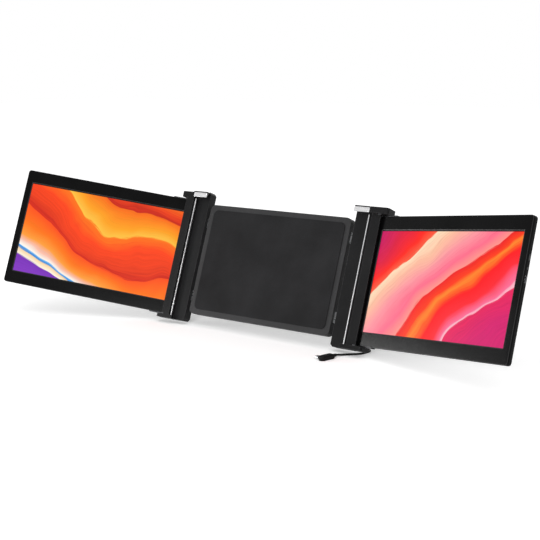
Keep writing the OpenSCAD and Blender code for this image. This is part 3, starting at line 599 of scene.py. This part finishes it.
def ribs(count, start, pitch, crest, valley, taper):
    """Profile of a strain relief's ribs: (distance, radius) points, with taper added from rib to rib."""
    profile = []
    for k in range(count):
        at, more = start + pitch * k, taper * k
        profile += [(at, crest + more), (at + pitch - 0.7, crest + more + taper / 2),
                    (at + pitch - 0.6, valley + more), (at + pitch - 0.1, valley + more + taper / 3)]
    return profile


# gland: ribbed sleeve that stands on the foot block
GLAND_L = 5.0
bm = bmesh.new()
turned(bm, CABLE_EXIT / MM - Vector((0, GLAND_L, 0)), (0, 1, 0),
       [(0, CABLE_R), (0, 2.15)] + ribs(3, 0.2, 1.4, 2.27, 2.0, -0.14)
       + [(4.4, 1.85), (4.85, 1.8), (GLAND_L, 1.66), (GLAND_L, CABLE_R)])
gland = add_object("gland_sleeve", in_metres(bm), CORD, "right_bracket", "cable_gland")

# plug: frame with Y along the plug, X to the laptop's side and Z up from the table
AT_PLUG = (Matrix.Translation(ROUTE[-1]) @ Matrix.Rotation(LEAN, 4, "X")
           @ Matrix.Rotation(pi - PLUG_TURN, 4, "Z") @ Matrix.Diagonal((-MM, MM, MM, 1)))
GRIP_W, GRIP_T, GRIP_L, RELIEF_L = 11.0, 6.4, 24.0, 7.0
SHELL_L, SHELL_W, SHELL_T = 6.6, 8.3, 2.4


def grip_loop(inset, height):
    """Outline of the grip: square with small corners at the cable, half round at the far end."""
    r, small = GRIP_W / 2 - inset, 2.0
    y0, y1 = RELIEF_L + inset, RELIEF_L + GRIP_L - GRIP_W / 2
    points = [(r * cos(radians(a)), y1 + r * sin(radians(a)), height) for a in range(0, 181, 12)]
    for cx, start in ((-r + small, 180), (r - small, 270)):
        turns = [radians(start + a) for a in range(0, 91, 18)]
        points += [(cx + small * cos(t), y0 + small + small * sin(t), height) for t in turns]
    return points


bm = bmesh.new()
edge = [(1.5, GRIP_T / 2), (0.75, 3.05), (0.25, 2.65), (0.0, 2.0), (0.0, 0.12), (0.12, 0.0)]
loft(bm, [grip_loop(i, -h) for i, h in edge] + [grip_loop(i, h) for i, h in reversed(edge[:-1])])
turned(bm, (0, 0, 0), (0, 1, 0),
       [(0, CABLE_R), (0, 1.72)] + ribs(4, 0.1, 1.5, 1.88, 1.7, 0.175)
       + [(6.1, 2.58), (RELIEF_L + 0.6, 2.68)])
bmesh.ops.transform(bm, matrix=AT_PLUG, verts=bm.verts)
grip = add_object("plug_body", bm, CORD, "right_bracket", "plug_grip")


def shell_loop(x, inset):
    """Section of the plug's shell, open towards the laptop."""
    r, half = SHELL_T / 2 - inset, (SHELL_W - SHELL_T) / 2
    y = RELIEF_L + GRIP_L - GRIP_W / 2
    return [(x, y + (half if abs(a) < 90 else -half) + r * cos(radians(a)), r * sin(radians(a)))
            for a in list(range(-89, 90, 16)) + list(range(91, 270, 16))]


bm = bmesh.new()
x_out, x_in = -GRIP_W / 2 - SHELL_L, -GRIP_W / 2
loft(bm, [shell_loop(x_in, 0), shell_loop(x_out + 0.15, 0), shell_loop(x_out, 0.1), shell_loop(x_out, 0.28),
          shell_loop(x_in - 0.8, 0.28)])
bmesh.ops.transform(bm, matrix=AT_PLUG, verts=bm.verts)
shell = add_object("plug_contact_shell", bm, TIN, "right_bracket", "plug_shell")


# ---------- screens ----------
def front_bezel(side):
    """One ring, with broken edges at the front and a groove towards the cover."""
    bm = bmesh.new()
    pocket = grown(PICTURE, POCKET_RIM)
    loops = [
        rounded_loop(SCREEN, SCREEN_R, SPLIT_Y, 0.25),
        rounded_loop(SCREEN, SCREEN_R, SPLIT_Y - 0.25),
        rounded_loop(SCREEN, SCREEN_R, FACE_Y + 0.6),
        rounded_loop(SCREEN, SCREEN_R, FACE_Y + 0.17, 0.17),
        rounded_loop(SCREEN, SCREEN_R, FACE_Y, 0.6),
        rounded_loop(PICTURE, 0.5, FACE_Y, -1.5),
        rounded_loop(PICTURE, 0.5, FACE_Y + 0.12, -1.3),
        rounded_loop(PICTURE, 0.5, FACE_Y + 0.62, -0.08),
        rounded_loop(PICTURE, 0.5, GLASS_Y),
        rounded_loop(pocket, 1.0, GLASS_Y),
        rounded_loop(pocket, 1.0, SPLIT_Y),
    ]
    loft(bm, loops, closed=True)
    bm.faces.ensure_lookup_table()
    around = len(loops[0])
    # the broken outer edge and the window's chamfer are glossier than the face, which is their own, and a
    # lighter black, which is a painted highlight
    for step in (2, 3, 5, 6):
        for face in bm.faces[step * around:(step + 1) * around]:
            face.material_index = 1
    made = add_object(side + "_front_bezel", swung(side, bm), BEZEL, side + "_screen",
                      side + "_bezel")
    made.data.materials.append(BEZEL_EDGE_HIGHLIGHT)


def panel_glass(side):
    """Panel glass, mapped so that the picture fills the window."""
    bm = bmesh.new()
    glass = grown(PICTURE, GLASS_RIM)
    uv = bm.loops.layers.uv.new("picture")
    loft(bm, [rounded_loop(glass, 1.0, GLASS_Y + 0.02), rounded_loop(glass, 1.0, TRAY_Y)])
    for face in bm.faces:
        for corner in face.loops:
            u = (corner.vert.co.x - PICTURE[0]) / (PICTURE[1] - PICTURE[0])
            v = (corner.vert.co.z - PICTURE[2]) / (PICTURE[3] - PICTURE[2])
            corner[uv].uv = (u if side == "right" else 1 - u, v)
    add_object(side + "_panel_glass", swung(side, bm), picture_material(side), side + "_screen",
               side + "_lcd_panel")


def cover_holes():
    """Cutter for the back cover's screw holes, key holes and socket mouth."""
    holes = bmesh.new()
    for x in SCREEN_SCREW_X:
        for s in (-1, 1):
            turned(holes, (x, BACK_Y + OVERCUT, s * SCREEN_SCREW_Z), (0, -1, 0),
                   [(0, HEAD_HOLE_R), (OVERCUT + HEAD_DEPTH, HEAD_HOLE_R),
                    (OVERCUT + HEAD_DEPTH, SHANK_HOLE_R), (OVERCUT + BORE_DEPTH, SHANK_HOLE_R)])
    for s in (-1, 1):
        for x in ARM_SCREW_X:
            turned(holes, (x, ARM_SCREW_Y, s * (SCREEN[3] + OVERCUT)), (0, 0, -s),
                   [(0, SHANK_HOLE_R), (BORE_DEPTH, SHANK_HOLE_R)], 16)
    for opening in KEYS + [SOCKET]:
        loft(holes, [stadium(x, opening, KEY_GAP) for x in (SCREEN[1] - MOUTH_IN, SCREEN[1] + OVERCUT)])
    return holes


def back_cover(side):
    """Hollow cover, rounded at the back; its flat back has a coarser, glossier grain and a lighter black, the
    lighter black being painted light for a side lit by the world alone.
    """
    bm = bmesh.new()
    outer = [rounded_loop(SCREEN, SCREEN_R, SPLIT_Y, 0.25), rounded_loop(SCREEN, SCREEN_R, SPLIT_Y + 0.25),
             rounded_loop(SCREEN, SCREEN_R, BACK_Y - COVER_ROLL)]
    for turn in (15, 30, 45, 60, 75, 90):
        t = radians(turn)
        outer.append(rounded_loop(SCREEN, SCREEN_R, BACK_Y - COVER_ROLL + COVER_ROLL * sin(t),
                                  COVER_ROLL * (1 - cos(t))))
    inner = [rounded_loop(SCREEN, SCREEN_R, y, COVER_WALL) for y in (SPLIT_Y, BACK_Y - COVER_WALL)]
    loft(bm, list(reversed(inner)) + outer)
    cover = carved(bm, cover_holes())
    # the flat back's faces take the lighter black, which is painted light
    for face in cover.faces:
        if min(vert.co.y for vert in face.verts) > BACK_Y - 0.01:
            face.material_index = 1
    made = add_object(side + "_rear_cover", swung(side, cover), COVER, side + "_screen",
                      side + "_back_cover")
    made.data.materials.append(COVER_BACK_PAINTED_LIGHT)


def edge_keys(side):
    """The two keys in the outer edge, with rounded tops."""
    tip = SCREEN[1] + KEY_OUT
    for key, kind in zip(KEYS, ("power", "rocker")):
        bm = bmesh.new()
        z, length, radius = key
        loft(bm, [stadium(SCREEN[1] - KEY_IN, key), stadium(tip - 0.25, key),
                  stadium(tip - 0.08, (z, length - 0.16, radius - 0.08)),
                  stadium(tip, (z, length - 0.5, radius - 0.25))])
        body = side + "_" + kind + "_key"
        add_object(body, swung(side, bm), KEY, body, side + "_" + kind + "_button")


def screen_screws(side):
    """Screws in the cover and in the hinge arms."""
    bm = back_screws(SCREEN_SCREW_X, SCREEN_SCREW_Z, BACK_Y - 0.15, 1.05, 7.0)
    for s in (-1, 1):
        for x in ARM_SCREW_X:
            screw(bm, (x, ARM_SCREW_Y, s * (SCREEN[3] + ARM_T)), (0, 0, s), 1.2, 9.5)
    add_object(side + "_case_screws", swung(side, bm), SCREW, side + "_screen",
               side + "_screen_screws")


for side in ("left", "right"):
    for make in (front_bezel, panel_glass, back_cover, edge_keys, screen_screws):
        make(side)


# ---------- brackets, clips and housing ----------
def seams(side):
    """Cutter for the parting lines round a bracket's hinge blocks."""
    bm = bmesh.new()
    x0, end = BLOCK_FROM + 1, HINGE_X + BLOCK_REACH[side]
    for s, height in ((1, BLOCK_H), (-1, FOOT_H)):
        low, high = BLOCK_IN, BLOCK_IN + height
        outline = [(x0, high + OVERCUT), (end + OVERCUT, high + OVERCUT), (end + OVERCUT, low - OVERCUT),
                   (x0, low - OVERCUT), (x0, low + SEAM_D), (end - SEAM_D, low + SEAM_D),
                   (end - SEAM_D, high - SEAM_D), (x0, high - SEAM_D)]
        loft(bm, [[(x, AXIS_Y[side] + y, s * z) for x, z in outline] for y in (-SEAM_W, SEAM_W)])
    return in_metres(bm, side)


def bracket_shells(side):
    """Post, strip, pad, rails and the screen's hinge arms."""
    body = side + "_bracket"
    refined(side + "_post_front", side + "_bracket_front", 0.55, FRAME, body, 3)
    refined(side + "_post_rear", side + "_bracket_rear", 0.55, SHELL, body, 3, seams(side))
    refined(side + "_lid_strip", side + "_edge_strip", 0.2, STRIP, body)
    refined(side + "_lid_pad", side + "_side_pad", 0.3, RUBBER, body)
    refined(side + "_rails", side + "_slide_rails", 0.2, RAIL, body)
    refined(side + "_arms", side + "_hinge_arms", 0.15, ARM, side + "_screen")


def rail_screws(side):
    """Screws that clamp the rails."""
    bm = back_screws(RAIL_SCREW_X, RAIL_Z, REAR_OUT - 0.1, 1.1, 12.0)
    add_object(side + "_rail_screws", in_metres(bm, side), SCREW, side + "_bracket",
               side + "_bracket_screws")


def bend_points(radius, turns):
    """Points of the clip's bend, from its top down to its stem: (y, z)."""
    y, z = CLIP_BACK - CLIP_BEND, BRIDGE_TOP - CLIP_BEND
    return [(y + radius * sin(radians(t)), z + radius * cos(radians(t))) for t in turns]


def clip_strip():
    """Bridge and stem of the clip, bent from one strip."""
    bm = bmesh.new()
    start, tip, inside = CLIP_FRONT + 0.5, CLIP_TOP - CLIP_STEM, CLIP_BACK - CLIP_T
    turn, below = CLIP_BACK - CLIP_BEND, BRIDGE_TOP - CLIP_BEND
    outline = [(start, BRIDGE_TOP), (turn, BRIDGE_TOP)] + bend_points(CLIP_BEND, (22, 45, 68))
    outline += [(CLIP_BACK, below), (CLIP_BACK, tip), (inside, tip), (inside, below)]
    outline += bend_points(CLIP_BEND - CLIP_T, (60, 30))
    outline += [(turn, BRIDGE_TOP - CLIP_T), (start, BRIDGE_TOP - CLIP_T)]
    loft(bm, [[(CLIP_X + x, y, z) for y, z in outline] for x in (-STEM_HALF_W, STEM_HALF_W)])
    bevelled = [e for e in bm.edges if e.is_manifold and e.calc_face_angle(0) > 1.2]
    bmesh.ops.bevel(bm, geom=bevelled, offset=0.12, segments=2, profile=0.5, affect="EDGES")
    return bm


def clip(side):
    """Clip with a pressed field in its tongue, and its black cap."""
    bm = bmesh.new()
    tongue = (CLIP_X - CLIP_HALF_W, CLIP_X + CLIP_HALF_W, CLIP_TOP - CLIP_H, CLIP_TOP)
    # corner radius, depth behind the front, inset
    steps = [(1.6, 1.0, 0.2), (1.6, 0.8, 0.0), (1.6, 0.3, 0.0), (1.6, 0.09, 0.09),
             (1.6, 0.0, 0.3), (1.9, 0.0, 1.5), (2.1, 0.12, 1.68), (2.2, 0.3, 1.9)]
    loft(bm, [rounded_loop(tongue, radius, CLIP_FRONT + depth, inset) for radius, depth, inset in steps])
    strip = clip_strip()
    joined = bpy.data.meshes.new("strip")
    strip.to_mesh(joined)
    strip.free()
    bm.from_mesh(joined)
    bpy.data.meshes.remove(joined)
    add_object(side + "_clip_hook", in_metres(bm, side), CLIP, side + "_clip",
               side + "_lid_clip", 30)
    refined(side + "_clip_cover", side + "_clip_cap", 0.4, FRAME, side + "_clip", 3)


for side in ("left", "right"):
    for make in (bracket_shells, rail_screws, clip):
        make(side)

refined("housing_front_shell", "housing_front", 0.8, HOUSING, "housing", 3)
refined("housing_back_shell", "housing_back", 1.2, HOUSING, "housing", 3)
refined("lid_mat", "seat_mat", 0.3, FOAM, "housing")
bm = back_screws(HOUSING_SCREW_X, HOUSING_SCREW_Z, REAR_OUT - 0.1, 1.1, 12.0)
add_object("housing_case_screws", in_metres(bm), SCREW, "housing", "housing_screws")

# ---------- carried-over nodes ----------
SLOT["board"] = board_material("board_green")
DRIVER_BOARD = {
    side + "_driver_board": board_material(side + "_board_green", side) for side in ("left", "right")
}
record_slot = {row["node"]: row["material_slot"] for row in frame["record"]["subparts"]}
for name, piece in NODES.items():
    if piece.hide_render:
        continue
    piece.data.materials.clear()
    piece.data.materials.append(DRIVER_BOARD.get(name, SLOT[record_slot[name]]))

# ---------- floor, light and background ----------
FLOOR_REACH = 6.0
FLOOR_GLOW, GLOW_SPAN = (0.15, 0.42), (0.1, 0.9)  # the span is of the distance squared
RIGHT_GLOW, RIGHT_SPAN = 0.2, (0.1, 0.34)
WORLD_LIGHT = 0.7


def floor_glow(tree):
    """How brightly the floor shows to the camera: more away from the object, and more to the right."""
    path = tree.nodes.new("ShaderNodeLightPath")
    spot = tree.nodes.new("ShaderNodeTexCoord").outputs["Object"]
    away = vector_math(tree, "DOT_PRODUCT", spot, spot)
    glow = map_range(tree, away, *GLOW_SPAN, *FLOOR_GLOW, smooth=True)
    to_the_right = vector_math(tree, "DOT_PRODUCT", spot, (1.0, 0.0, 0.0))
    glow = math(tree, "ADD", glow, map_range(tree, to_the_right, *RIGHT_SPAN, 0.0, RIGHT_GLOW, smooth=True))
    return math(tree, "MULTIPLY", path.outputs["Is Camera Ray"], glow)


def white_floor():
    """Material that looks white to the camera, keeps the object's shadow, and is clear from below."""
    material, tree, shader = new_material("floor")
    shader.inputs["Base Color"].default_value = (0.93, 0.93, 0.93, 1)
    shader.inputs["Roughness"].default_value = 0.9
    shader.inputs["Specular IOR Level"].default_value = 0.0
    shader.inputs["Emission Color"].default_value = (1, 1, 1, 1)
    plug(tree, shader.inputs["Emission Strength"], floor_glow(tree))
    facing = tree.nodes.new("ShaderNodeNewGeometry")
    clear = tree.nodes.new("ShaderNodeBsdfTransparent")
    two_sided = tree.nodes.new("ShaderNodeMixShader")
    tree.links.new(facing.outputs["Backfacing"], two_sided.inputs[0])
    tree.links.new(shader.outputs[0], two_sided.inputs[1])
    tree.links.new(clear.outputs[0], two_sided.inputs[2])
    tree.links.new(two_sided.outputs[0], tree.nodes["Material Output"].inputs["Surface"])
    return material


floor_mesh = bpy.data.meshes.new("floor")
bm = bmesh.new()
along, across = Vector((1, 0, 0)), TABLE_UP.cross(Vector((1, 0, 0)))
centre = TABLE_UP * TABLE_H * MM
bm.faces.new([bm.verts.new(centre + along * a * FLOOR_REACH + across * b * FLOOR_REACH)
              for a, b in ((-1, -1), (1, -1), (1, 1), (-1, 1))])
bm.to_mesh(floor_mesh)
bm.free()
floor_mesh.materials.append(white_floor())
floor = bpy.data.objects.new("floor", floor_mesh)
bpy.context.scene.collection.objects.link(floor)

# the world shows white where it is seen, and lights the object a little less
world = bpy.data.worlds.new("studio")
bpy.context.scene.world = world
world.use_nodes = True
tree = world.node_tree
background = tree.nodes["Background"]
background.inputs["Color"].default_value = (1, 1, 1, 1)
path = tree.nodes.new("ShaderNodeLightPath")
seen = math(tree, "MAXIMUM", path.outputs["Is Camera Ray"],
            math(tree, "MAXIMUM", path.outputs["Is Glossy Ray"], path.outputs["Is Transmission Ray"]))
plug(tree, background.inputs["Strength"], map_range(tree, seen, 0.0, 1.0, WORLD_LIGHT, 1.0))


def lamp(name, at, towards, width, height, power):
    """Soft lamp, out of the camera's sight."""
    data = bpy.data.lights.new(name, "AREA")
    data.shape = "RECTANGLE"
    data.size, data.size_y = width, height
    data.energy = power
    made = bpy.data.objects.new(name, data)
    bpy.context.scene.collection.objects.link(made)
    made.location = at
    made.rotation_mode = "QUATERNION"
    made.rotation_quaternion = (Vector(towards) - Vector(at)).to_track_quat("-Z", "Y")
    made.visible_camera = False


lamp("top_lamp", TABLE_UP * 1.7 + Vector((0.4, -0.55, 0)), (0, 0, 0), 2.0, 2.0, 8.5)
lamp("front_lamp", Vector((0.36, -1.68, -0.24)), (-0.1, 0, -0.05), 0.7, 0.3, 14.0)
lamp("left_lamp", Vector((-1.335, -0.47, -0.16)), (0.18, 0, -0.05), 0.6, 0.24, 16.0)

bpy.context.scene.view_settings.view_transform = "Standard"
